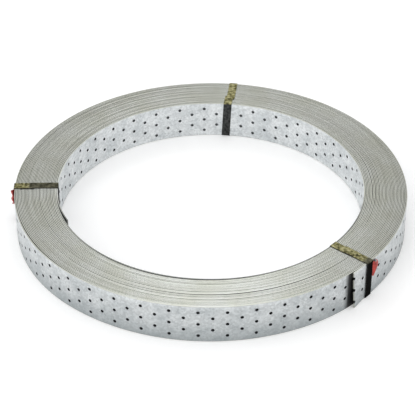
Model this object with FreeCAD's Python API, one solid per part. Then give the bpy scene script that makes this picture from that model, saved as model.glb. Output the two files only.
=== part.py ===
import FreeCAD, Part
import math
import os

os.makedirs("parts", exist_ok=True)

# Wind bracing strap: one length of perforated galvanised steel band, wound into a
# flat coil and held by three steel ties. The origin is on the coil's axis, at the
# underside of the ties that it lies on. Angles are in degrees, counter-clockwise
# seen from above, with 0 along +X.

# The band
BAND_WIDTH = 60.0
BAND_THICKNESS = 2.0
EDGE_BEVEL = 0.3            # of a band edge, across the thickness
EDGE_DEPTH = 0.5            # of the same bevel, down the width
HOLE_DIAMETER = 5.0
COLUMN_SPACING = 20.0       # from one column of holes to the next, along the band
HOLE_PITCH = 20.0           # from hole to hole within a column, across the band

# The coil
BORE_RADIUS = 229.0
WHOLE_TURNS = 30
TURN_GAP = 0.07

# The two free ends of the band. The outer one springs off clockwise of the front
# tie, and the inner one springs off counter-clockwise of the left tie.
OUTER_TAIL_PAST_TIE = 0.65  # from the tie's edge to where the band leaves the coil
OUTER_TAIL_LENGTH = 27.0
OUTER_TAIL_FLARE = 8.0      # between the straight tail and the tangent
OUTER_END_TO_COLUMN = 0.0   # the end was sheared through a column of holes
INNER_TAIL_PAST_TIE = 5.0
INNER_TAIL_LENGTH = 80.0
INNER_TAIL_RADIUS = 190.0
INNER_END_TO_COLUMN = 5.0

# The steel ties
TIE_WIDTH = 13.0
TIE_THICKNESS = 0.5
TIE_BEND = 0.4              # inside radius of a tie's corners
TIE_CLEARANCE = 0.05        # between a tie's legs and the walls of the coil
TIE_TOP_GAP = 0.5           # between the coil's top and a tie's top run
TIE_LAP = 24.0              # length of the overlap at a tie's joint
BACK_LAP_FROM_BORE = 18.0
FRONT_LAP_FROM_BORE = 18.0
LEFT_LAP_FROM_BORE = 34.0
LEFT_TIE_AT = 180.6
BACK_TIE_AT = 82.4
FRONT_TIE_AT = -40.9

# The red marker tabs, each tucked under a tie's outer leg
TAB_THICKNESS = 0.8
TAB_HEIGHT = 26.0
TAB_BELOW_TOP = 1.5
TAB_TUCK = 4.0              # length held under the tie
TAB_REACH = 13.0            # length that shows beside the tie
TAB_RISE = 6.0              # how far the curl stands off the wall
TAB_TIP_GAP = 0.4           # between the end of the curl and the tangent plane

# Worked out from the above
turn_pitch = BAND_THICKNESS + TURN_GAP
centre_shift = turn_pitch / 4
coil_bottom = TIE_THICKNESS
coil_top = coil_bottom + BAND_WIDTH
middle_height = coil_bottom + BAND_WIDTH / 2
UP = FreeCAD.Vector(0, 0, 1)
AXIS_POINT = FreeCAD.Vector(0, 0, 0)

# The spiral is two half turns about centres that lie half a pitch apart, so each
# half turn starts one half pitch further in than the last one. The first half runs
# from the outer tail, and the second half brings the band back to it.
first_outer = BORE_RADIUS + (WHOLE_TURNS + 1) * turn_pitch
second_outer = first_outer - turn_pitch / 2
second_inner = second_outer - WHOLE_TURNS * turn_pitch
last_inner = second_inner - turn_pitch

# Where the two tails leave the coil, and the sweep of the part turn between the
# second half's start and the inner tail
first_sweep = 180.0
outer_leaves_at = FRONT_TIE_AT - math.degrees(
    (TIE_WIDTH / 2 + OUTER_TAIL_PAST_TIE) / first_outer
)
inner_leaves_at = LEFT_TIE_AT + math.degrees(
    (TIE_WIDTH / 2 + INNER_TAIL_PAST_TIE) / BORE_RADIUS
)
last_sweep = (inner_leaves_at - outer_leaves_at) % 360 - first_sweep


def on_plan(radius, angle, height=0.0):
    """A point at a distance from the axis, in the coil's own turned frame."""
    turn = math.radians(angle)
    return FreeCAD.Vector(radius * math.cos(turn), radius * math.sin(turn), height)


def turned(shape, angle):
    """The shape turned about the axis."""
    shape.rotate(AXIS_POINT, UP, angle)
    return shape


def ring_section(inner, bands):
    """Section of several turns side by side, with a groove between their edges at
    the top and at the bottom."""
    top = []
    for band in range(bands):
        face_in = inner + band * turn_pitch
        face_out = face_in + turn_pitch
        top.append((face_in, coil_top - EDGE_DEPTH))
        top.append((face_in + EDGE_BEVEL, coil_top))
        top.append((face_out - EDGE_BEVEL, coil_top))
    top.append((inner + bands * turn_pitch, coil_top - EDGE_DEPTH))
    bottom = [(x, 2 * middle_height - z) for x, z in reversed(top)]
    outline = [FreeCAD.Vector(x, 0, z) for x, z in top + bottom]
    outline.append(outline[0])
    return Part.Face(Part.makePolygon(outline))


def half_turns(inner, bands, start, sweep, shift):
    """Several turns over one sweep, about a centre shifted along the start line."""
    solid = ring_section(inner, bands).revolve(AXIS_POINT, UP, sweep)
    solid = turned(solid, start)
    solid.translate(FreeCAD.Vector(shift, 0, 0))
    return solid


def prism(outline, height):
    """A closed plan outline of edges, raised from the coil's bottom."""
    face = Part.Face(Part.Wire(outline))
    solid = face.extrude(UP * height)
    solid.translate(UP * coil_bottom)
    return solid


def outer_tail():
    """The straight end of the outermost turn, sprung off the coil."""
    flare = math.radians(OUTER_TAIL_FLARE)
    along = FreeCAD.Vector(math.sin(flare), -math.cos(flare), 0)
    outward = FreeCAD.Vector(math.cos(flare), math.sin(flare), 0)
    root_out = FreeCAD.Vector(first_outer + centre_shift, 0, 0)
    root_in = root_out - FreeCAD.Vector(BAND_THICKNESS, 0, 0)
    tip_in = root_in + along * OUTER_TAIL_LENGTH
    tip_out = tip_in + outward * BAND_THICKNESS
    edges = Part.makePolygon([root_in, tip_in, tip_out, root_out, root_in]).Edges
    holes = []
    for step, column in columns_between(OUTER_END_TO_COLUMN, OUTER_TAIL_LENGTH):
        middle = tip_in - along * step + outward * BAND_THICKNESS / 2
        holes += column_of_holes(column, middle, outward, 2 * BAND_THICKNESS)
    return prism(edges, BAND_WIDTH).cut(Part.makeCompound(holes))


def inner_tail():
    """The curled end of the innermost turn, sprung into the bore."""
    root_angle = first_sweep + last_sweep
    root_in = on_plan(last_inner, root_angle) - FreeCAD.Vector(centre_shift, 0, 0)
    centre = root_in - on_plan(INNER_TAIL_RADIUS, root_angle)
    middle_radius = INNER_TAIL_RADIUS + BAND_THICKNESS / 2
    sweep = math.degrees(INNER_TAIL_LENGTH / middle_radius)
    near, far = INNER_TAIL_RADIUS, INNER_TAIL_RADIUS + BAND_THICKNESS
    ends = [root_angle, root_angle + sweep / 2, root_angle + sweep]
    inside = [centre + on_plan(near, angle) for angle in ends]
    outside = [centre + on_plan(far, angle) for angle in ends]
    edges = [
        Part.Arc(*inside).toShape(),
        Part.makeLine(inside[-1], outside[-1]),
        Part.Arc(*reversed(outside)).toShape(),
        Part.makeLine(outside[0], inside[0]),
    ]
    holes = []
    for step, column in columns_between(INNER_END_TO_COLUMN, INNER_TAIL_LENGTH):
        angle = root_angle + sweep - math.degrees(step / middle_radius)
        middle = centre + on_plan(middle_radius, angle)
        holes += column_of_holes(column, middle, on_plan(1, angle), 2 * BAND_THICKNESS)
    return prism(edges, BAND_WIDTH).cut(Part.makeCompound(holes))


def columns_between(first, length):
    """The columns of holes on a tail: each one's distance from the cut end and its
    number. Those whose holes would meet the coil are left out."""
    found = []
    column = 0
    while first + column * COLUMN_SPACING < length - HOLE_DIAMETER / 2:
        found.append((first + column * COLUMN_SPACING, column))
        column += 1
    return found


def column_of_holes(column, middle, direction, length):
    """Drills for one column. Columns of three holes and of two holes take turns,
    and the drills run half their length to each side of the middle."""
    count = 3 - column % 2
    drills = []
    for row in range(count):
        height = middle_height + (row - (count - 1) / 2) * HOLE_PITCH
        start = middle + UP * height - direction * length / 2
        drills.append(Part.makeCylinder(HOLE_DIAMETER / 2, length, start, direction))
    return drills


def wall_drills(stretches, side, tail_length, end_to_column):
    """Drills one band deep into a wall of the coil. Each stretch of the wall is its
    centre's shift, its radius and its first and last angle. side is 1 for the outer
    wall and -1 for the bore. A hole that would break into a tail's root is left out."""
    drills = []
    column = math.ceil((tail_length + HOLE_DIAMETER / 2 - end_to_column) / COLUMN_SPACING)
    ahead = end_to_column + column * COLUMN_SPACING - tail_length
    for number, (shift, radius, first, last) in enumerate(stretches):
        middle_radius = radius - side * BAND_THICKNESS / 2
        length = math.radians(abs(last - first)) * middle_radius
        is_last = number == len(stretches) - 1
        room = length - HOLE_DIAMETER if is_last else length
        while ahead < room:
            angle = first + math.copysign(math.degrees(ahead / middle_radius), last - first)
            outside = on_plan(radius + side * BAND_THICKNESS, angle)
            outside += FreeCAD.Vector(shift, 0, 0)
            length_through = 4 * BAND_THICKNESS
            drills += column_of_holes(column, outside, on_plan(1, angle), length_through)
            column += 1
            ahead += COLUMN_SPACING
        ahead -= length
    return drills


def perforated_strap():
    """The whole band: its turns, its two tails and the holes in both walls."""
    end_angle = first_sweep + last_sweep
    coil = half_turns(BORE_RADIUS, WHOLE_TURNS + 1, 0, first_sweep, centre_shift)
    coil = coil.fuse([
        half_turns(second_inner, WHOLE_TURNS, first_sweep, 180, -centre_shift),
        half_turns(last_inner, 1, first_sweep, last_sweep, -centre_shift),
    ])
    outer_wall = [
        (centre_shift, first_outer, 0, 180),
        (-centre_shift, second_outer, 180, 360),
    ]
    inner_wall = [
        (-centre_shift, last_inner, end_angle, 180),
        (centre_shift, BORE_RADIUS, 180, 0),
        (-centre_shift, second_inner, 360, end_angle),
    ]
    drills = wall_drills(outer_wall, 1, OUTER_TAIL_LENGTH, OUTER_END_TO_COLUMN)
    drills += wall_drills(inner_wall, -1, INNER_TAIL_LENGTH, INNER_END_TO_COLUMN)
    coil = coil.cut(Part.makeCompound(drills))
    coil = coil.fuse([outer_tail(), inner_tail()])
    return turned(coil, outer_leaves_at)


def wall_at(angle):
    """Where the coil's inner and outer walls stand along a line from the axis, as
    far in and as far out as they reach across a tie's width."""
    past_start = (angle - outer_leaves_at) % 360
    in_first_half = past_start < first_sweep
    shift = centre_shift if in_first_half else -centre_shift
    outer = first_outer if in_first_half else second_outer
    if in_first_half:
        inner = BORE_RADIUS
    elif past_start < first_sweep + last_sweep:
        inner = last_inner
    else:
        inner = second_inner
    centre_along = shift * math.cos(math.radians(past_start))
    centre_aside = abs(shift * math.sin(math.radians(past_start)))
    far_corner = TIE_WIDTH / 2 + centre_aside
    inner_reach = centre_along + math.sqrt(inner ** 2 - far_corner ** 2)
    return inner_reach, centre_along + outer


def rounded_frame(x_in, x_out, z_low, z_high, radius):
    """A rectangle with rounded corners in the plane of the coil's section."""
    corner = Part.makeBox(
        x_out - x_in, TIE_WIDTH, z_high - z_low,
        FreeCAD.Vector(x_in, -TIE_WIDTH / 2, z_low),
    )
    long_edges = [e for e in corner.Edges if abs(e.tangentAt(e.FirstParameter).y) > 0.9]
    return corner.makeFillet(radius, long_edges)


def tie(angle, stand_off, lap_from_bore):
    """A steel tie wrapped round the coil's section, with its joint's lap on top.
    stand_off is what else lies between its outer leg and the coil."""
    wall_in, wall_out = wall_at(angle)
    x_in = wall_in - TIE_CLEARANCE
    x_out = wall_out + TIE_CLEARANCE + stand_off
    top_run = coil_top + TIE_TOP_GAP
    outer_bend = TIE_BEND + TIE_THICKNESS
    outside = rounded_frame(
        x_in - TIE_THICKNESS, x_out + TIE_THICKNESS,
        coil_bottom - TIE_THICKNESS, top_run + TIE_THICKNESS, outer_bend,
    )
    inside = rounded_frame(x_in, x_out, coil_bottom, top_run, TIE_BEND)
    lap_start = FreeCAD.Vector(wall_in + lap_from_bore, -TIE_WIDTH / 2, top_run)
    lap = Part.makeBox(TIE_LAP, TIE_WIDTH, 2 * TIE_THICKNESS, lap_start)
    return turned(outside.cut(inside).fuse(lap).removeSplitter(), angle)


def red_tab(angle):
    """A strip of red plastic, flat under the tie and curled up beside it."""
    wall_out = wall_at(angle)[1]
    tie_edge = TIE_WIDTH / 2
    end = tie_edge + TAB_REACH
    crest = tie_edge + TAB_REACH / 2
    near = wall_out + TIE_CLEARANCE
    far = near + TAB_THICKNESS
    plan = [
        (near, tie_edge - TAB_TUCK), (near, tie_edge), (near + TAB_RISE - TAB_THICKNESS, crest),
        (near + TAB_TIP_GAP, end), (far + TAB_TIP_GAP, end),
        (near + TAB_RISE, crest), (far, tie_edge), (far, tie_edge - TAB_TUCK),
    ]
    points = [FreeCAD.Vector(x, y, 0) for x, y in plan]
    tuck_in, root_in, crest_in, end_in, end_out, crest_out, root_out, tuck_out = points
    edges = [
        Part.makeLine(tuck_in, root_in),
        Part.Arc(root_in, crest_in, end_in).toShape(),
        Part.makeLine(end_in, end_out),
        Part.Arc(end_out, crest_out, root_out).toShape(),
        Part.makeLine(root_out, tuck_out),
        Part.makeLine(tuck_out, tuck_in),
    ]
    solid = prism(edges, TAB_HEIGHT)
    solid.translate(UP * (BAND_WIDTH - TAB_HEIGHT - TAB_BELOW_TOP))
    return turned(solid, angle)


under_tie = TAB_THICKNESS + TIE_CLEARANCE
nodes = {
    "perforated_strap": perforated_strap(),
    "tie_left": tie(LEFT_TIE_AT, under_tie, LEFT_LAP_FROM_BORE),
    "tie_back": tie(BACK_TIE_AT, 0.0, BACK_LAP_FROM_BORE),
    "tie_front": tie(FRONT_TIE_AT, under_tie, FRONT_LAP_FROM_BORE),
    "red_tab_left": red_tab(LEFT_TIE_AT),
    "red_tab_front": red_tab(FRONT_TIE_AT),
}
for name, shape in nodes.items():
    print(name, "solids", len(shape.Solids), "volume", round(shape.Volume, 1), shape.isValid())
    shape.exportStep("parts/" + name + ".step")
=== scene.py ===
import math
import random

import bpy
from mathutils import Matrix, Vector


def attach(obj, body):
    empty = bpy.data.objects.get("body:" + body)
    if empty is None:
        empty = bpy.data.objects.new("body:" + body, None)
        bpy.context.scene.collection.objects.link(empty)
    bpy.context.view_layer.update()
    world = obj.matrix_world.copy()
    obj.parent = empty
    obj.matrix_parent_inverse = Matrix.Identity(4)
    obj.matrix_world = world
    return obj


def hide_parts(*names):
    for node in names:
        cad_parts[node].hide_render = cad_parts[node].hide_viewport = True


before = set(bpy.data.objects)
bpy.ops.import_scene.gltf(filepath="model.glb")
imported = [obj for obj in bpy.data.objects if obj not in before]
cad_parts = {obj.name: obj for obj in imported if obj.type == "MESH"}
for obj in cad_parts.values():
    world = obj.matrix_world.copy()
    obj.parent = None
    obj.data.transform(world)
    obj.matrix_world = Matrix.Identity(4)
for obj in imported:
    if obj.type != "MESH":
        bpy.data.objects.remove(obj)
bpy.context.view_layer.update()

MM = 0.001

# The band, as it is before it is wound: its length runs along x, its thickness
# along y and its width along z. Lengths are in millimetres up to the sheet's mesh.
BAND_THICKNESS = 2.0
BAND_BOTTOM = 0.5
BAND_WIDTH = 60.0
COIL_TOP = BAND_BOTTOM + BAND_WIDTH
HOLE_RADIUS = 2.5
HOLE_SIDES = 16
TILE = 20.0                 # a hole sits in the middle of each 20 mm square
UNIT = 2 * TILE             # a column of three holes, then a column of two
OUTER_UNITS = 48            # units that the outermost turn and its tail take
INNER_UNITS = 39            # units that the innermost turn and its tail take
INNER_END_TO_COLUMN = 5.0   # the outer end was sheared through a column
PLAIN_STEP = 10.0           # length of a facet where the band has no holes to show
EDGE_ROUND = 0.32           # radius that the mill's shears leave along the edges
NEAR = 0.01                 # two points closer than this are in one place

# The winding
TURN_GAP = 0.07             # mean gap between turns
TURNS_TO_BORE = 30          # whole turns
FIRST_OUTER = 293.13        # radius of the outer wall where the outer tail leaves
OUTER_LEAVES_AT = -42.297   # degrees
INNER_LEAVES_AT = 183.477
OUTER_TAIL = 27.0
OUTER_TAIL_STEPS = 6
OUTER_FLARE = 8.0           # degrees off the tangent
OUTER_TWIST = -3.8          # degrees, one corner of the tip further out
INNER_TAIL = 80.0
INNER_TAIL_RADIUS = 191.0
INNER_TAIL_STEPS = 16
ANGLE_STEP = 2.0            # degrees between two points of the winding
WAVES_SEED = 31
GAP_WAVES = (7, 13, 19, 29, 43, 61, 83)     # waves in the whole winding
GAP_WAVE_SIZE = 0.95
EDGE_WAVES = (5, 11, 23, 37, 53, 71)
EDGE_WAVE_SIZE = 0.8
EDGE_WANDER = 0.09          # how far a turn stands above or below its neighbours
HELD_BY_TIE = 2.0           # degrees either side of a tie that it holds level
FREE_OVER = 12.0            # degrees over which the turns then come free
INNER_RAISE = 0.8           # how far the innermost turn has crept up
RAISE_FROM = 200.0          # degrees
RAISE_OVER = 100.0
OUTER_LIFT = 0.8            # how far the outermost turn springs off between two angles
LIFT_FROM = 188.0           # degrees
LIFT_TO = 240.0
TIE_AT = {"left": 180.6, "back": 82.4, "front": -40.9}


# ---------------------------------------------------------------- small helpers

def deselect_all():
    for item in bpy.context.selected_objects:
        item.select_set(False)


def only(item):
    """Makes one object the selected and active one."""
    deselect_all()
    item.select_set(True)
    bpy.context.view_layer.objects.active = item
    return item


def edit(item, mode="VERT"):
    """Opens one object in edit mode with nothing selected."""
    only(item)
    bpy.ops.object.mode_set(mode="EDIT")
    bpy.ops.mesh.select_mode(type=mode)
    bpy.ops.mesh.select_all(action="DESELECT")
    bpy.ops.object.mode_set(mode="OBJECT")


def pick(item, kind, wanted):
    """Selects the vertices, edges or faces for which wanted(middle, normal) holds,
    and leaves the object in edit mode."""
    edit(item, {"vertices": "VERT", "edges": "EDGE", "polygons": "FACE"}[kind])
    mesh = item.data
    points = [v.co for v in mesh.vertices]
    for part in getattr(mesh, kind):
        if kind == "vertices":
            part.select = wanted(part.co)
        elif kind == "edges":
            part.select = wanted(points[part.vertices[0]], points[part.vertices[1]])
        else:
            part.select = wanted(part.center, part.normal)
    bpy.ops.object.mode_set(mode="EDIT")


def done():
    bpy.ops.object.mode_set(mode="OBJECT")


def modify(item, kind, **settings):
    """Adds a modifier with its settings and applies it."""
    only(item)
    modifier = item.modifiers.new(kind.lower(), kind)
    for name, value in settings.items():
        setattr(modifier, name, value)
    bpy.ops.object.modifier_apply(modifier=modifier.name)
    return item


def join(items):
    """Joins objects into the first one and welds what meets."""
    only(items[0])
    for item in items[1:]:
        item.select_set(True)
    bpy.ops.object.join()
    weld(items[0])
    return items[0]


def weld(item, distance=0.001):
    pick(item, "vertices", lambda co: True)
    bpy.ops.mesh.remove_doubles(threshold=distance)
    done()


def repeated(item, count, offset):
    """Copies of an item in a row, welded where they meet."""
    return modify(item, "ARRAY", count=count, use_relative_offset=False,
                  use_constant_offset=True, constant_offset_displace=offset,
                  use_merge_vertices=True, merge_threshold=NEAR)


def placed(item):
    """Moves an object's place, turn and scale into its mesh."""
    only(item)
    bpy.ops.object.transform_apply(location=True, rotation=True, scale=True)
    return item


def copy_of(item, name):
    twin = item.copy()
    twin.data = item.data.copy()
    twin.name = name
    bpy.context.scene.collection.objects.link(twin)
    return twin


# ---------------------------------------------------------------- the flat sheet

def hole_tile():
    """One square of sheet round one punched hole, at the origin, facing -y."""
    turn = (math.pi / 2, 0, 0)
    bpy.ops.mesh.primitive_circle_add(vertices=HOLE_SIDES, radius=HOLE_RADIUS, rotation=turn)
    hole = placed(bpy.context.object)
    bpy.ops.mesh.primitive_plane_add(size=TILE, rotation=turn)
    tile = placed(bpy.context.object)
    pick(tile, "polygons", lambda middle, normal: True)
    bpy.ops.mesh.subdivide(number_cuts=1)
    done()
    pick(tile, "vertices", lambda co: co.length < 1)
    bpy.ops.mesh.delete(type="VERT")
    done()
    only(tile)
    hole.select_set(True)
    bpy.ops.object.join()
    pick(tile, "edges", lambda a, b: True)
    bpy.ops.mesh.bridge_edge_loops()
    done()
    return tile


def hole_unit():
    """A column of three holes and a column of two, as one sheet 60 mm wide."""
    tile = hole_tile()
    three = repeated(copy_of(tile, "three"), 3, (0, 0, TILE))
    three.location.z = BAND_BOTTOM + TILE / 2
    placed(three)
    two = repeated(tile, 2, (0, 0, TILE))
    two.location = (TILE, 0, BAND_BOTTOM + TILE)
    placed(two)
    for end, way in ((BAND_BOTTOM + TILE / 2, -1), (BAND_BOTTOM + 5 * TILE / 2, 1)):
        pick(two, "edges", lambda a, b: abs(a.z - end) < NEAR and abs(b.z - end) < NEAR)
        bpy.ops.mesh.extrude_region_move(
            TRANSFORM_OT_translate={"value": (0, 0, way * TILE / 2)})
        done()
    return join([three, two])


def perforated_length(name, units, first_column, way):
    """Units in a row from an end of the band: way is 1 from the outer end and -1
    from the inner end, and first_column is where the first column stands."""
    sheet = hole_unit()
    sheet.name = name
    repeated(sheet, units, (UNIT, 0, 0))
    if way < 0:
        sheet.scale.x = -1
        placed(sheet)
    sheet.location.x = first_column
    return placed(sheet)


def plain_length(name, start, end):
    """The band with no holes, as square-ended facets from start to end."""
    count = round((end - start) / PLAIN_STEP)
    step = (end - start) / count
    bpy.ops.mesh.primitive_plane_add(size=1, rotation=(math.pi / 2, 0, 0))
    sheet = placed(bpy.context.object)
    sheet.name = name
    sheet.scale = (step, 1, BAND_WIDTH)
    sheet.location = (start + step / 2, 0, BAND_BOTTOM + BAND_WIDTH / 2)
    placed(sheet)
    return repeated(sheet, count, (step, 0, 0))


def cut_square(sheet, at, outward):
    """Shears the sheet across at one end."""
    pick(sheet, "polygons", lambda middle, normal: abs(middle.x - at) < TILE)
    bpy.ops.mesh.bisect(plane_co=(at, 0, 0), plane_no=(outward, 0, 0),
                        clear_outer=True, clear_inner=False)
    done()


def bridge_at(sheet, near, far):
    """Closes the gap between two open ends of sheet, which lie at near and far along
    the band."""
    close = 10 * NEAR       # single precision is coarse 50 m along

    def at_either(a, b):
        return any(abs(a.x - x) < close and abs(b.x - x) < close for x in (near, far))
    pick(sheet, "edges", at_either)
    bpy.ops.mesh.bridge_edge_loops()
    done()


# ---------------------------------------------------------------- the winding

class Winding:
    """The line that the middle of the band's thickness follows, in millimetres:
    the outer tail, the turns from the outside in, and the inner tail."""

    def __init__(self):
        chance = random.Random(WAVES_SEED)
        self.gap_waves = self.waves(chance, GAP_WAVES, GAP_WAVE_SIZE)
        self.edge_waves = self.waves(chance, EDGE_WAVES, EDGE_WAVE_SIZE)
        self.sweep = 360 * TURNS_TO_BORE + INNER_LEAVES_AT - OUTER_LEAVES_AT
        self.points = []
        self.tilts = []
        self.trace()

    def waves(self, chance, counts, size):
        """Waves that repeat after the whole coil: how many, how high and their phase."""
        return [(count, size * chance.uniform(0.5, 1), chance.uniform(0, 2 * math.pi))
                for count in counts]

    def wave(self, waves, turned):
        share = 2 * math.pi * turned / (360 * TURNS_TO_BORE)
        return sum(size * math.sin(count * share + phase) for count, size, phase in waves)

    def openness(self, turned):
        return math.exp(self.wave(self.gap_waves, turned))

    def gap(self, turned):
        """The gap inside the band, which is uneven, though all the gaps along any
        one radius add up to the same slack."""
        within = turned % 360
        total = sum(self.openness(within + 360 * n) for n in range(TURNS_TO_BORE))
        return TURN_GAP * TURNS_TO_BORE * self.openness(turned) / total

    def edge_height(self, turned):
        """How far the band stands off its level, which is nothing at the ties."""
        angle = OUTER_LEAVES_AT + turned
        free = 1.0
        for tie in TIE_AT.values():
            away = abs((angle - tie + 180) % 360 - 180)
            free *= min(1.0, max(0.0, away - HELD_BY_TIE) / FREE_OVER)
        return EDGE_WANDER * free * self.wave(self.edge_waves, turned)

    def raised(self, turned):
        """The innermost turn has crept up a little along the front."""
        from_bore = self.sweep - turned
        if from_bore > 360:
            return 0.0
        share = ((OUTER_LEAVES_AT + turned) % 360 - RAISE_FROM) / RAISE_OVER
        return INNER_RAISE * math.sin(math.pi * min(max(share, 0), 1))

    def lifted(self, turned):
        """The outermost turn has sprung a little off the next one, past the left tie."""
        share = (OUTER_LEAVES_AT + turned - LIFT_FROM) / (LIFT_TO - LIFT_FROM)
        if turned > 360 or not 0 < share < 1:
            return 0.0
        return OUTER_LIFT * math.sin(math.pi * share) ** 2

    def trace(self):
        """Works out the line. Each turn lies inside the one before it by the band's
        thickness and a gap, and the first half turn is about its own centre."""
        pitch = BAND_THICKNESS + TURN_GAP
        steps = round(360 / ANGLE_STEP)
        start = FIRST_OUTER + pitch / 4 - BAND_THICKNESS / 2
        shift = (BAND_THICKNESS + self.gap(0)) / 4
        radii = []
        for i in range(steps):
            along = shift * math.cos(math.radians(i * ANGLE_STEP))
            first_half = 2 * i < steps
            radii.append(start - (shift - along if first_half else 3 * shift + along))
        count = int(self.sweep // ANGLE_STEP)
        while len(radii) <= count + 1:
            turned = (len(radii) - steps) * ANGLE_STEP
            radii.append(radii[-steps] - BAND_THICKNESS - self.gap(turned))
        self.radii = radii
        root = self.on_plan(radii[0], OUTER_LEAVES_AT, 0)
        flare = math.radians(OUTER_LEAVES_AT - 90 + OUTER_FLARE)
        along = Vector((math.cos(flare), math.sin(flare), 0))
        for i in range(OUTER_TAIL_STEPS, 0, -1):
            self.points.append(root + along * OUTER_TAIL * i / OUTER_TAIL_STEPS)
            self.tilts.append(math.radians(OUTER_TWIST) * i / OUTER_TAIL_STEPS)
        for i in range(count + 1):
            turned = i * ANGLE_STEP
            height = self.edge_height(turned) + self.raised(turned)
            radius = radii[i] + self.lifted(turned)
            self.points.append(self.on_plan(radius, OUTER_LEAVES_AT + turned, height))
            self.tilts.append(0.0)
        part = self.sweep / ANGLE_STEP - count
        last = radii[count] * (1 - part) + radii[count + 1] * part
        self.points.append(self.on_plan(last, INNER_LEAVES_AT, 0))
        self.tilts.append(0.0)
        centre = self.on_plan(last - INNER_TAIL_RADIUS, INNER_LEAVES_AT, 0)
        sweep = math.degrees(INNER_TAIL / INNER_TAIL_RADIUS)
        for i in range(1, INNER_TAIL_STEPS + 1):
            angle = INNER_LEAVES_AT + sweep * i / INNER_TAIL_STEPS
            self.points.append(centre + self.on_plan(INNER_TAIL_RADIUS, angle, 0))
            self.tilts.append(0.0)

    def on_plan(self, radius, angle, height):
        turn = math.radians(angle)
        return Vector((radius * math.cos(turn), radius * math.sin(turn), height))

    def length(self):
        return sum((b - a).length for a, b in zip(self.points, self.points[1:]))

    def curve(self):
        """The same line as a curve object that bends the flat band."""
        data = bpy.data.curves.new("winding", "CURVE")
        data.dimensions = "3D"
        data.twist_mode = "Z_UP"
        spline = data.splines.new("POLY")
        spline.points.add(len(self.points) - 1)
        for point, place, tilt in zip(spline.points, self.points, self.tilts):
            point.co = (*place, 1)
            point.tilt = tilt
        line = bpy.data.objects.new("winding", data)
        bpy.context.scene.collection.objects.link(line)
        return line


def perforated_strap(winding, materials):
    """The band as one closed piece: flat sheet first, then its thickness and its
    rounded edges, then wound."""
    length = winding.length()
    outer_end = OUTER_UNITS * UNIT - TILE / 2
    last_column = length - INNER_END_TO_COLUMN
    inner_end = last_column + TILE / 2 - INNER_UNITS * UNIT
    outer = perforated_length("perforated_band", OUTER_UNITS, 0, 1)
    cut_square(outer, 0, -1)
    inner = perforated_length("inner_length", INNER_UNITS, last_column, -1)
    cut_square(inner, length, 1)
    plain = plain_length("plain_length", outer_end + PLAIN_STEP, inner_end - PLAIN_STEP)
    plain_end = max(v.co.x for v in plain.data.vertices)    # a long row drifts
    band = join([outer, plain, inner])
    bridge_at(band, outer_end, outer_end + PLAIN_STEP)
    bridge_at(band, plain_end, inner_end)
    pick(band, "polygons", lambda middle, normal: True)
    bpy.ops.mesh.normals_make_consistent(inside=False)
    done()
    modify(band, "SOLIDIFY", thickness=BAND_THICKNESS, offset=0)
    low, high = BAND_BOTTOM + NEAR, COIL_TOP - NEAR

    def long_edge(a, b):
        at_edge = (a.z < low and b.z < low) or (a.z > high and b.z > high)
        return at_edge and abs(a.y - b.y) < NEAR
    pick(band, "edges", long_edge)
    bpy.ops.mesh.bevel(offset=EDGE_ROUND, segments=2, affect="EDGES", clamp_overlap=False)
    done()
    set_materials(band, materials)
    finishes(band, outer_end, inner_end)
    line = winding.curve()
    modify(band, "CURVE", object=line, deform_axis="POS_X")
    bpy.data.objects.remove(line)
    band.scale = (MM, MM, MM)
    placed(band)
    return band


# The last two slots are painted shade: dark colour for the holes' walls and for the faces between
# the turns.
WALL, EDGE, HOLE, SHADED = range(4)


def finishes(band, outer_end, inner_end):
    """Gives each face of the band its material slot. The band's -y side faces out
    of the coil and its +y side faces the bore, so the walls that show are one side
    of each perforated length. The faces between two turns, with their rounded edges
    down there, and the holes' walls take dark painted shade."""
    low, high = BAND_BOTTOM + 2 * EDGE_ROUND, COIL_TOP - 2 * EDGE_ROUND
    level, square = 0.999, 0.5
    for face in band.data.polygons:
        middle, normal = face.center, face.normal
        out_wall = middle.x < outer_end - TILE and normal.y < 0
        in_wall = middle.x > inner_end + TILE and normal.y > 0
        if middle.z < low or middle.z > high:
            between = abs(normal.z) < level and not (out_wall or in_wall)
            face.material_index = SHADED if between else EDGE
        elif abs(normal.y) < square:
            at_tip = middle.x < NEAR or normal.x > level
            face.material_index = EDGE if at_tip else HOLE
        else:
            face.material_index = WALL if out_wall or in_wall else SHADED


def smooth(item, angle=50):
    """Smooth shading that keeps corners, with wide faces staying flat."""
    only(item)
    bpy.ops.object.shade_smooth_by_angle(angle=math.radians(angle), keep_sharp_edges=True)
    modify(item, "WEIGHTED_NORMAL", keep_sharp=True)


# ---------------------------------------------------------------- ties and tabs

TIE_THICKNESS = 0.5
TIE_WIDTH = 13.0
TIE_BEND = 0.65             # radius at the middle of the steel
TIE_EDGE_ROUND = 0.08
UNDERLAP = 8.0              # length of the lower end that lies under the upper one
CRIMP_DEPTH = 0.4
# Along the joint, from its outer end: each step's share of its length, and its rise.
# The strip climbs on to the lower layer, and then goes through two crimps.
JOINT_STEPS = (
    (0.06, TIE_THICKNESS), (0.12, 0),
    (0.06, -CRIMP_DEPTH), (0.08, 0), (0.06, CRIMP_DEPTH), (0.16, 0),
    (0.06, -CRIMP_DEPTH), (0.08, 0), (0.06, CRIMP_DEPTH), (0.26, 0),
)
TAB_THICKNESS = 0.5
TAB_TUCK = 4.0              # length held under the tie
TAB_OFF_WALL = 0.4          # middle of the plastic, from the wall
TAB_COLUMNS = 10


def local_box(node_name, angle):
    """A CAD node's lowest and highest corners in millimetres, turned back so that
    its tie lies along x."""
    turn = Matrix.Rotation(math.radians(-angle), 3, "Z")
    corners = [turn @ v.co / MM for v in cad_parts[node_name].data.vertices]
    return [[pick_end(c[axis] for c in corners) for axis in range(3)]
            for pick_end in (min, max)]


def set_in_place(item, angle):
    """Turns a piece from along x to its own angle, and takes it to metres."""
    item.rotation_euler.z = math.radians(angle)
    item.scale = (MM, MM, MM)
    return placed(item)


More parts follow.
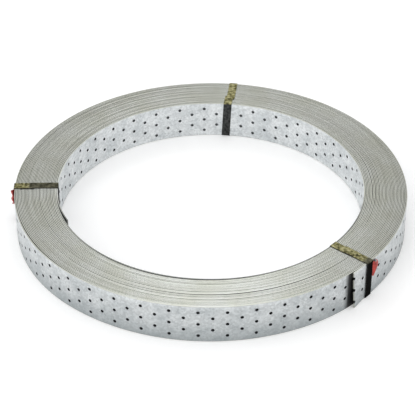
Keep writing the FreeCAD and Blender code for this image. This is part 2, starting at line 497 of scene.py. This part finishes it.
def strip_along(name, start, moves, width):
    """A flat strip of steel that runs from start through a list of moves."""
    first = moves[0]
    bpy.ops.mesh.primitive_plane_add(size=1)
    strip = placed(bpy.context.object)
    strip.name = name
    strip.scale = (abs(first[0]), width, 1)
    strip.location = (start[0] + first[0] / 2, start[1], start[2])
    placed(strip)
    end = Vector(start) + Vector((first[0], 0, 0))
    for move in moves[1:]:
        pick(strip, "edges", lambda a, b: on_line(a, b, end, width))
        bpy.ops.mesh.extrude_region_move(TRANSFORM_OT_translate={"value": move})
        done()
        end += Vector(move)
    return strip


def on_line(a, b, end, width):
    """Whether an edge from a to b is the strip's end."""
    middle = (a + b) / 2
    return (middle - end).length < NEAR and abs((a - b).length - width) < NEAR


def tie(name, angle, lap, aside, lean, skew, materials):
    """One wrap of flat steel round the coil's section. lap is where its joint starts
    and ends, from the bore; aside is how far its lower end has slid along the coil,
    lean is how far its inner leg slants, and skew is how far its upper end has slid.
    The upper end is pressed into the lower one by two crimps."""
    low, high = local_box(name, angle)
    half = TIE_THICKNESS / 2
    x_in, x_out = low[0] + half, high[0] - half
    bottom, top = low[2] + half, high[2] - 3 * half
    joint_in, joint_out = low[0] + lap[0], low[0] + lap[1]
    lower_end = joint_in + UNDERLAP
    back_over = -(aside + lean) / 2
    moves = [
        (x_in - lower_end, 0, 0), (0, lean, bottom - top), (x_out - x_in, back_over, 0),
        (0, back_over + skew / 3, top - bottom), (joint_out - x_out, skew / 3, 0),
    ]
    length = joint_out - joint_in
    moves += [(-share * length, share * skew / 3, rise) for share, rise in JOINT_STEPS]
    strip = strip_along(name + "_strip", (lower_end, aside, top), moves, TIE_WIDTH)
    corners = [(x, z) for x in (x_in, x_out) for z in (bottom, top)]

    def corner(a, b):
        return any(abs(a.x - x) < NEAR and abs(b.x - x) < NEAR
                   and abs(a.z - z) < NEAR and abs(b.z - z) < NEAR for x, z in corners)
    pick(strip, "edges", corner)
    bpy.ops.mesh.bevel(offset=TIE_BEND, segments=4, affect="EDGES")
    done()
    set_materials(strip, materials)
    modify(strip, "SOLIDIFY", thickness=TIE_THICKNESS, offset=0, material_offset_rim=1)
    modify(strip, "BEVEL", width=TIE_EDGE_ROUND, segments=2, limit_method="ANGLE",
           angle_limit=math.radians(60))
    set_in_place(strip, angle)
    smooth(strip)
    return strip


def tab(name, angle, reaches, bulge, material):
    """A scrap of red plastic strip held by a tie: flat under it, and curled beside
    it. reaches are how far its rows show past the tie, from the top down."""
    low, high = local_box(name, angle)
    rows = len(reaches) - 1
    tie_edge = TIE_WIDTH / 2
    bpy.ops.mesh.primitive_grid_add(x_subdivisions=rows, y_subdivisions=TAB_COLUMNS, size=1,
                                    rotation=(0, math.pi / 2, 0))
    sheet = placed(bpy.context.object)
    sheet.name = name + "_curl"
    sheet.scale = (1, 1, high[2] - low[2])
    sheet.location = (low[0] + TAB_OFF_WALL, tie_edge + 0.5, (low[2] + high[2]) / 2)
    placed(sheet)
    heights = [high[2] - (high[2] - low[2]) * row / rows for row in range(rows + 1)]
    for height, reach in zip(heights, reaches):
        pick(sheet, "vertices", lambda co: abs(co.z - height) < NEAR)
        bpy.ops.transform.resize(value=(1, reach, 1), center_override=(0, tie_edge, 0))
        done()
    for column in range(1, TAB_COLUMNS + 1):
        share = column / TAB_COLUMNS
        for row, (height, reach) in enumerate(zip(heights, reaches)):
            away = bulge(share, row / rows)
            pick(sheet, "vertices", lambda co: abs(co.z - height) < NEAR
                 and abs(co.y - tie_edge - share * reach) < NEAR)
            bpy.ops.transform.translate(value=(away, 0, 0))
            done()
    pick(sheet, "edges", lambda a, b: abs(a.y - tie_edge) + abs(b.y - tie_edge) < NEAR)
    bpy.ops.mesh.extrude_region_move(TRANSFORM_OT_translate={"value": (0, -TAB_TUCK, 0)})
    done()
    pick(sheet, "polygons", lambda middle, normal: True)
    bpy.ops.mesh.normals_make_consistent(inside=False)
    done()
    modify(sheet, "SOLIDIFY", thickness=TAB_THICKNESS, offset=0)
    modify(sheet, "SUBSURF", levels=2, render_levels=2)
    set_in_place(sheet, angle)
    set_materials(sheet, [material])
    smooth(sheet)
    return sheet


# ---------------------------------------------------------------- materials

MIDDLE_OF_SECTION = 260.0   # radius that parts the outer wall from the bore's
SHADOW_PAST_END = 2.6          # degrees from the outer tail's root to the painted shadow's middle
SHADOW_REACH = 28.0            # the painted shadow fades out between these two distances
SHADOW_SOLID = 20.0
SHADOW_OUTSIDE = 292.8         # and off the wall between these two radii
SHADOW_ON_WALL = 292.5


def linear(code):
    """An sRGB hex colour as the linear colour that the shaders take."""
    parts = [int(code[i:i + 2], 16) / 255 for i in (1, 3, 5)]
    return tuple(c / 12.92 if c <= 0.04045 else ((c + 0.055) / 1.055) ** 2.4
                 for c in parts) + (1.0,)


def node(tree, kind, links=None, **settings):
    """Adds a node: settings are its properties, or its inputs where the name is an
    input's, and links gives the socket that feeds each input."""
    made = tree.nodes.new(kind)
    for name, value in settings.items():
        if hasattr(made, name):
            setattr(made, name, value)
        else:
            made.inputs[name.replace("_", " ")].default_value = value
    for name, source in (links or {}).items():
        tree.links.new(source, made.inputs[name])
    return made


def ramp(tree, source, stops):
    """A colour ramp with its stops, each a place and a hex colour."""
    made = node(tree, "ShaderNodeValToRGB", {"Fac": source})
    elements = made.color_ramp.elements
    while len(elements) < len(stops):
        elements.new(0.5)
    for element, (place, code) in zip(elements, stops):
        element.position = place
        element.color = linear(code)
    return made.outputs["Color"]


def mixed(tree, share, first, second, blend="MIX"):
    """Two colours mixed: share is a number or a socket."""
    made = node(tree, "ShaderNodeMix", data_type="RGBA", blend_type=blend)
    for place, value in ((0, share), (6, first), (7, second)):
        if isinstance(value, bpy.types.NodeSocket):
            tree.links.new(value, made.inputs[place])
        else:
            made.inputs[place].default_value = value
    return made.outputs[2]


def span(tree, source, low, high, to_low=0.0, to_high=1.0):
    """Maps a value from one range to another and holds it there."""
    made = node(tree, "ShaderNodeMapRange", {"Value": source})
    for name, value in (("From Min", low), ("From Max", high),
                        ("To Min", to_low), ("To Max", to_high)):
        made.inputs[name].default_value = value
    return made.outputs["Result"]


def math_of(tree, operation, first, second=None):
    made = node(tree, "ShaderNodeMath", operation=operation)
    for place, value in enumerate((first, second)):
        if isinstance(value, bpy.types.NodeSocket):
            tree.links.new(value, made.inputs[place])
        elif value is not None:
            made.inputs[place].default_value = value
    return made.outputs["Value"]


def noise(tree, place, size, detail=2.0, roughness=0.5):
    """Soft noise whose patches are about size metres across."""
    made = node(tree, "ShaderNodeTexNoise", {"Vector": place})
    made.inputs["Scale"].default_value = 1 / size
    made.inputs["Detail"].default_value = detail
    made.inputs["Roughness"].default_value = roughness
    return made.outputs["Fac"]


def bumped(tree, shader, height, distance, strength=1.0):
    made = node(tree, "ShaderNodeBump", {"Height": height})
    made.inputs["Distance"].default_value = distance
    made.inputs["Strength"].default_value = strength
    tree.links.new(made.outputs["Normal"], shader.inputs["Normal"])


def surface(name, metallic, roughness):
    """A new material, its tree, its shader and its object coordinates."""
    material = bpy.data.materials.new(name)
    material.use_nodes = True
    tree = material.node_tree
    shader = tree.nodes["Principled BSDF"]
    shader.inputs["Metallic"].default_value = metallic
    shader.inputs["Roughness"].default_value = roughness
    place = node(tree, "ShaderNodeTexCoord").outputs["Object"]
    return material, tree, shader, place


def from_axis(tree, place):
    """The flat part of a place, and its distance from the coil's axis."""
    flat = node(tree, "ShaderNodeVectorMath", {"Vector": place}, operation="MULTIPLY")
    flat.inputs[1].default_value = (1, 1, 0)
    length = node(tree, "ShaderNodeVectorMath", {"Vector": flat.outputs["Vector"]},
                  operation="LENGTH")
    return flat.outputs["Vector"], length.outputs["Value"]


def all_of(tree, *masks):
    """Masks multiplied together."""
    result = masks[0]
    for mask in masks[1:]:
        result = math_of(tree, "MULTIPLY", result, mask)
    return result


def galvanised_wall():
    """Sheet steel, hot-dip galvanised: bluish white zinc with fine spangle a few
    millimetres wide and soft cloudy patches. The side that faces the bore keeps the
    zinc's own colour; the outer side carries painted light and shade: a little darker
    overall, a painted highlight near its top edge, painted shade towards its lower
    edge, and a black painted shadow beside the outer tail's tip, where the tail
    stands off the wall."""
    material, tree, shader, place = surface("steel_hot_dip_galvanised", 0.7, 0.4)
    crystals = node(tree, "ShaderNodeTexVoronoi", {"Vector": place})
    crystals.inputs["Scale"].default_value = 1 / (2.6 * MM)
    shade = node(tree, "ShaderNodeSeparateColor", {"Color": crystals.outputs["Color"]})
    grains = ramp(tree, shade.outputs["Red"], ((0.0, "#c8cbcc"), (1.0, "#e4e7e8")))
    clouds = ramp(tree, noise(tree, place, 24 * MM, 3.0, 0.6),
                  ((0.35, "#e8eaeb"), (0.62, "#ffffff")))
    clean = mixed(tree, 1.0, grains, clouds, "MULTIPLY")
    height = node(tree, "ShaderNodeSeparateXYZ", {"Vector": place}).outputs["Z"]
    flat, radius = from_axis(tree, place)
    # Painted light and shade on the outer side: darker overall, a painted highlight near the top
    # edge and painted shade towards the lower edge.
    outer_light_and_shade = mixed(tree, 1.0, clean, linear("#e6e7e7"), "MULTIPLY")
    outer_light_and_shade = mixed(tree, span(tree, height, 52 * MM, 60 * MM, 0.0, 0.6), outer_light_and_shade, clean)
    painted_shade_low = math_of(tree, "POWER", span(tree, height, 42 * MM, 0.5 * MM), 1.6)
    outer_light_and_shade = mixed(tree, math_of(tree, "MULTIPLY", painted_shade_low, 0.55), outer_light_and_shade, linear("#80888a"))
    outside = span(tree, radius, (MIDDLE_OF_SECTION - 1) * MM, (MIDDLE_OF_SECTION + 1) * MM)
    colour = mixed(tree, outside, clean, outer_light_and_shade)
    # A black painted shadow on the outer wall beside the outer tail's tip, where the tail stands
    # off the wall; pressed is the angle of its middle.
    pressed = math.radians(OUTER_LEAVES_AT - SHADOW_PAST_END)
    from_end = node(tree, "ShaderNodeVectorMath", {"Vector": flat}, operation="DISTANCE")
    from_end.inputs[1].default_value = (FIRST_OUTER * MM * math.cos(pressed),
                                        FIRST_OUTER * MM * math.sin(pressed), 0)
    painted_shadow = all_of(tree, outside, span(tree, radius, SHADOW_OUTSIDE * MM, SHADOW_ON_WALL * MM),
                 span(tree, from_end.outputs["Value"], SHADOW_REACH * MM, SHADOW_SOLID * MM))
    colour = mixed(tree, math_of(tree, "MULTIPLY", painted_shadow, 0.97), colour, linear("#08090a"))
    tree.links.new(colour, shader.inputs["Base Color"])
    rough = span(tree, noise(tree, place, 7 * MM), 0.3, 0.7, 0.32, 0.5)
    tree.links.new(rough, shader.inputs["Roughness"])
    bumped(tree, shader, crystals.outputs["Distance"], 0.05 * MM, 0.5)
    return material


def sheared_edge():
    """The same steel where the mill slit it: bare of zinc spangle, warm grey and a
    little different from turn to turn. The innermost turn's edge is darkened along
    the front, a painted shade."""
    material, tree, shader, place = surface("steel_mill_slit_edge", 0.85, 0.3)
    flat, radius = from_axis(tree, place)
    around = node(tree, "ShaderNodeVectorMath", {"Vector": flat},
                  operation="NORMALIZE").outputs["Vector"]
    spread = node(tree, "ShaderNodeVectorMath", {"Vector": around}, operation="SCALE")
    spread.inputs["Scale"].default_value = 1.6
    rings = node(tree, "ShaderNodeCombineXYZ",
                 {"Z": math_of(tree, "MULTIPLY", radius, 1 / (2.6 * MM))}).outputs["Vector"]
    along = node(tree, "ShaderNodeVectorMath", {"Vector": spread.outputs["Vector"]},
                 operation="ADD")
    tree.links.new(rings, along.inputs[1])
    turns = noise(tree, along.outputs["Vector"], 1.0, 2.0, 0.6)
    warm = ramp(tree, turns, ((0.3, "#acada4"), (0.5, "#b6b7af"), (0.7, "#c0c1ba")))
    patches = ramp(tree, noise(tree, place, 45 * MM, 2.0), ((0.35, "#f4f4ee"), (0.65, "#ffffff")))
    colour = mixed(tree, 1.0, warm, patches, "MULTIPLY")
    # Painted shade along the front of the innermost turn's edge.
    innermost = span(tree, radius, 231.6 * MM, 230.9 * MM)
    parts = node(tree, "ShaderNodeSeparateXYZ", {"Vector": place})
    in_front = span(tree, parts.outputs["Y"], -20 * MM, -90 * MM)
    painted_shade_front = math_of(tree, "MULTIPLY", math_of(tree, "MULTIPLY", innermost, in_front), 0.8)
    colour = mixed(tree, painted_shade_front, colour, linear("#5d5e5b"))
    tree.links.new(colour, shader.inputs["Base Color"])
    return material


def bore_side(tree, place):
    """1 just behind the innermost turn, where the painted shade between the turns is lighter, 0
    elsewhere.
    """
    flat, radius = from_axis(tree, place)
    return all_of(tree, span(tree, radius, 234 * MM, 233 * MM),
                  span(tree, radius, 227.5 * MM, 228.5 * MM))


def punched_hole():
    """The wall of a punched hole: steel painted dark, a painted shade for the inside of the hole.
    """
    material, tree, shader, place = surface("steel_punched_hole", 0.3, 0.7)
    colour = ramp(tree, noise(tree, place, 2 * MM), ((0.3, "#1b1d1f"), (0.7, "#34373a")))
    tree.links.new(colour, shader.inputs["Base Color"])
    return material


def between_turns():
    """The band's faces between its turns, which show only through the holes and the
    gaps: a near-black painted shade, lighter just behind the innermost turn."""
    material, tree, shader, place = surface("steel_painted_shade_between_turns", 0.3, 0.7)
    # Painted shade: near black, and lighter grey just behind the innermost turn below the top.
    dark = ramp(tree, noise(tree, place, 5 * MM), ((0.3, "#141517"), (0.7, "#26282a")))
    height = node(tree, "ShaderNodeSeparateXYZ", {"Vector": place}).outputs["Z"]
    away = all_of(tree, bore_side(tree, place), span(tree, height, 57 * MM, 55 * MM))
    colour = mixed(tree, away, dark, linear("#5a5e60"))
    tree.links.new(colour, shader.inputs["Base Color"])
    return material


def tie_steel(name, yellow_from, yellow_to, leg_dark, leg_light):
    """Strapping steel, blued and waxed: near black on its legs, in shades set per tie as
    painted light and shade, and on top lighter, a painted sheen, browned, and
    yellow-olive in patches over one stretch of its run across the coil, partly
    yellowed wax and partly painted sheen. The blueing takes the sheen off at low
    angles."""
    material, tree, shader, place = surface(name, 0.9, 0.38)
    parts = node(tree, "ShaderNodeSeparateXYZ", {"Vector": place})
    on_top = span(tree, parts.outputs["Z"], (COIL_TOP - 0.6) * MM, (COIL_TOP + 0.1) * MM)
    flat, radius = from_axis(tree, place)
    soft = 3 * MM
    past = span(tree, radius, yellow_from * MM - soft, yellow_from * MM + soft)
    before = span(tree, radius, yellow_to * MM + soft, yellow_to * MM - soft)
    stretch = math_of(tree, "MULTIPLY", past, before)
    blotch = noise(tree, place, 5 * MM, 3.0, 0.65)
    wax = ramp(tree, blotch, ((0.36, "#2c2a20"), (0.5, "#77734f"), (0.66, "#b3ae87")))
    brown = ramp(tree, blotch, ((0.35, "#37362d"), (0.65, "#6c6a59")))
    legs = ramp(tree, noise(tree, place, 4 * MM, 2.0), ((0.3, leg_dark), (0.7, leg_light)))
    # Painted sheen: the top lighter than the legs.
    top = mixed(tree, stretch, brown, wax)
    tree.links.new(mixed(tree, on_top, legs, top), shader.inputs["Base Color"])
    rough = span(tree, blotch, 0.3, 0.7, 0.28, 0.5)
    tree.links.new(rough, shader.inputs["Roughness"])
    shader.inputs["Specular Tint"].default_value = (0.15, 0.15, 0.15, 1)
    bumped(tree, shader, blotch, 0.08 * MM, 0.6)
    return material


def slit_edge():
    """The narrow edges of the same strapping: nearly black, a painted shade for the dark line
    along the tie's edges.
    """
    material, tree, shader, place = surface("steel_slit_edge_painted_shade", 0.3, 0.55)
    colour = ramp(tree, noise(tree, place, 6 * MM), ((0.3, "#0d0d0d"), (0.7, "#1c1b1a")))
    tree.links.new(colour, shader.inputs["Base Color"])
    return material


def red_plastic():
    """Red polypropylene strip, cast thin: satin, a little cloudy and finely creased."""
    material, tree, shader, place = surface("polypropylene_red_strip", 0.0, 0.42)
    colour = ramp(tree, noise(tree, place, 5 * MM, 2.0),
                  ((0.35, "#7d1a14"), (0.65, "#b93a2f")))
    tree.links.new(colour, shader.inputs["Base Color"])
    bumped(tree, shader, noise(tree, place, 2.5 * MM, 2.0), 0.1 * MM, 0.5)
    return material


def lit_table():
    """Opal acrylic, cast and satined, with a little light coming up through it."""
    material, tree, shader, place = surface("acrylic_opal_lit_table", 0.0, 0.9)
    shader.inputs["Base Color"].default_value = linear("#fbfbfb")
    shader.inputs["Emission Color"].default_value = (1, 1, 1, 1)
    shader.inputs["Emission Strength"].default_value = 0.13
    return material


def set_materials(item, materials):
    item.data.materials.clear()
    for material in materials:
        item.data.materials.append(material)


# ---------------------------------------------------------------- the pieces

strap = perforated_strap(Winding(), [
    galvanised_wall(), sheared_edge(), punched_hole(), between_turns(),
])
smooth(strap)
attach(strap, "root")
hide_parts("perforated_strap")

TIES = {
    # name: where its joint starts and ends from the bore, how far its lower end has
    # slid, its inner leg's lean, how far its upper end has slid, and its finish: the
    # radii between which its top is yellow-olive, partly wax and partly painted sheen,
    # and the two shades of its legs, set per tie as painted light and shade
    "left": ((35, 57), 0, 0, 1.5, (272, 296, "#121212", "#262524")),
    "back": ((16, 40), 1.8, 3.0, -0.8, (226, 292, "#262727", "#4a4b4a")),
    "front": ((19, 41), 0, 0, 1.0, (228, 286, "#060606", "#151514")),
}
SLIT = slit_edge()
for side, (lap, aside, lean, skew, finish) in TIES.items():
    piece = tie("tie_" + side, TIE_AT[side], lap, aside, lean, skew,
                [tie_steel("steel_blued_waxed_painted_light_" + side, *finish), SLIT])
    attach(piece, "root")
    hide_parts("tie_" + side)


def one_curl(share, down):
    """A single curl that stands off most near the top."""
    return 5.2 * math.sin(math.pi * min(1, share * 0.95)) * (1 - 0.55 * down)


def two_curls(share, down):
    """A curl with a dent half way down."""
    dent = 0.75 + 0.25 * math.cos(4 * math.pi * down)
    return 5.0 * math.sin(math.pi * min(1, share * 0.9)) * dent


RED = red_plastic()
TABS = {
    # name: how far its rows show past the tie, from the top down, and its curl
    "left": ((7, 10, 11, 10.5, 9.5, 10, 10, 9, 6.5, 3.5, 1.5), two_curls),
    "front": ((6, 10.5, 12.5, 13, 13, 12.5, 11, 9, 7, 5, 3), one_curl),
}
for side, (reaches, bulge) in TABS.items():
    piece = tab("red_tab_" + side, TIE_AT[side], reaches, bulge, RED)
    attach(piece, "root")
    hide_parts("red_tab_" + side)

# ---------------------------------------------------------------- stage

FLOOR_SIDE = 12             # metres
WHITE = (1, 1, 1)
SOFTBOXES = {
    # name: place in metres, side in metres, power in watts, and colour
    "softbox_over_the_back": ((0.0, 1.8, 1.72), 0.65, 4.8, (0.91, 0.94, 1.0)),
    "softbox_by_the_camera": ((-1.1, -2.1, 1.4), 1.6, 12, WHITE),
    "softbox_on_the_left": ((-2.4, -0.3, 0.9), 1.2, 9, WHITE),
    "softbox_on_the_right": ((2.4, -0.3, 0.9), 1.2, 3, WHITE),
}
CAMERA_AIM = (-0.00446, 0, 0.0005)      # metres
CAMERA_DISTANCE = 2.418
CAMERA_RISE = 0.01396       # how far the aim lies above the middle of the view
CAMERA_PITCH = 35.57        # degrees below level
CAMERA_ROLL = 0.152
CAMERA_LENS = 138.04        # millimetres, on a sensor 36 mm wide


def stage():
    deselect_all()
    bpy.ops.mesh.primitive_plane_add(size=FLOOR_SIDE)
    floor = bpy.context.object
    floor.name = "floor"
    set_materials(floor, [lit_table()])
    world = bpy.data.worlds.new("studio")
    bpy.context.scene.world = world
    world.use_nodes = True
    background = world.node_tree.nodes["Background"]
    background.inputs["Color"].default_value = (1, 1, 1, 1)
    background.inputs["Strength"].default_value = 0.9
    for name, (place, size, power, tint) in SOFTBOXES.items():
        softbox(name, place, size, power, tint)


def softbox(name, place, size, power, tint):
    """A square soft light that looks at the coil."""
    data = bpy.data.lights.new(name, "AREA")
    data.shape = "SQUARE"
    data.size = size
    data.energy = power
    data.color = tint
    light = bpy.data.objects.new(name, data)
    light.location = place
    light.rotation_euler = (-Vector(place)).to_track_quat("-Z", "Y").to_euler()
    bpy.context.scene.collection.objects.link(light)


def camera():
    """A long lens, looking down on the coil from the front."""
    pitch = math.radians(CAMERA_PITCH)
    roll = math.radians(CAMERA_ROLL)
    forward = Vector((0, math.cos(pitch), -math.sin(pitch)))
    upward = Vector((0, math.sin(pitch), math.cos(pitch)))
    data = bpy.data.cameras.new("camera")
    data.lens = CAMERA_LENS
    data.sensor_width = 36
    eye = bpy.data.objects.new("camera", data)
    bpy.context.scene.collection.objects.link(eye)
    place = Vector(CAMERA_AIM) - forward * CAMERA_DISTANCE + upward * CAMERA_RISE
    turn = Matrix.Rotation(math.pi / 2 - pitch, 4, "X") @ Matrix.Rotation(-roll, 4, "Z")
    eye.matrix_world = Matrix.Translation(place) @ turn
    bpy.context.scene.camera = eye


stage()
camera()
bpy.context.scene.view_settings.view_transform = "Standard"
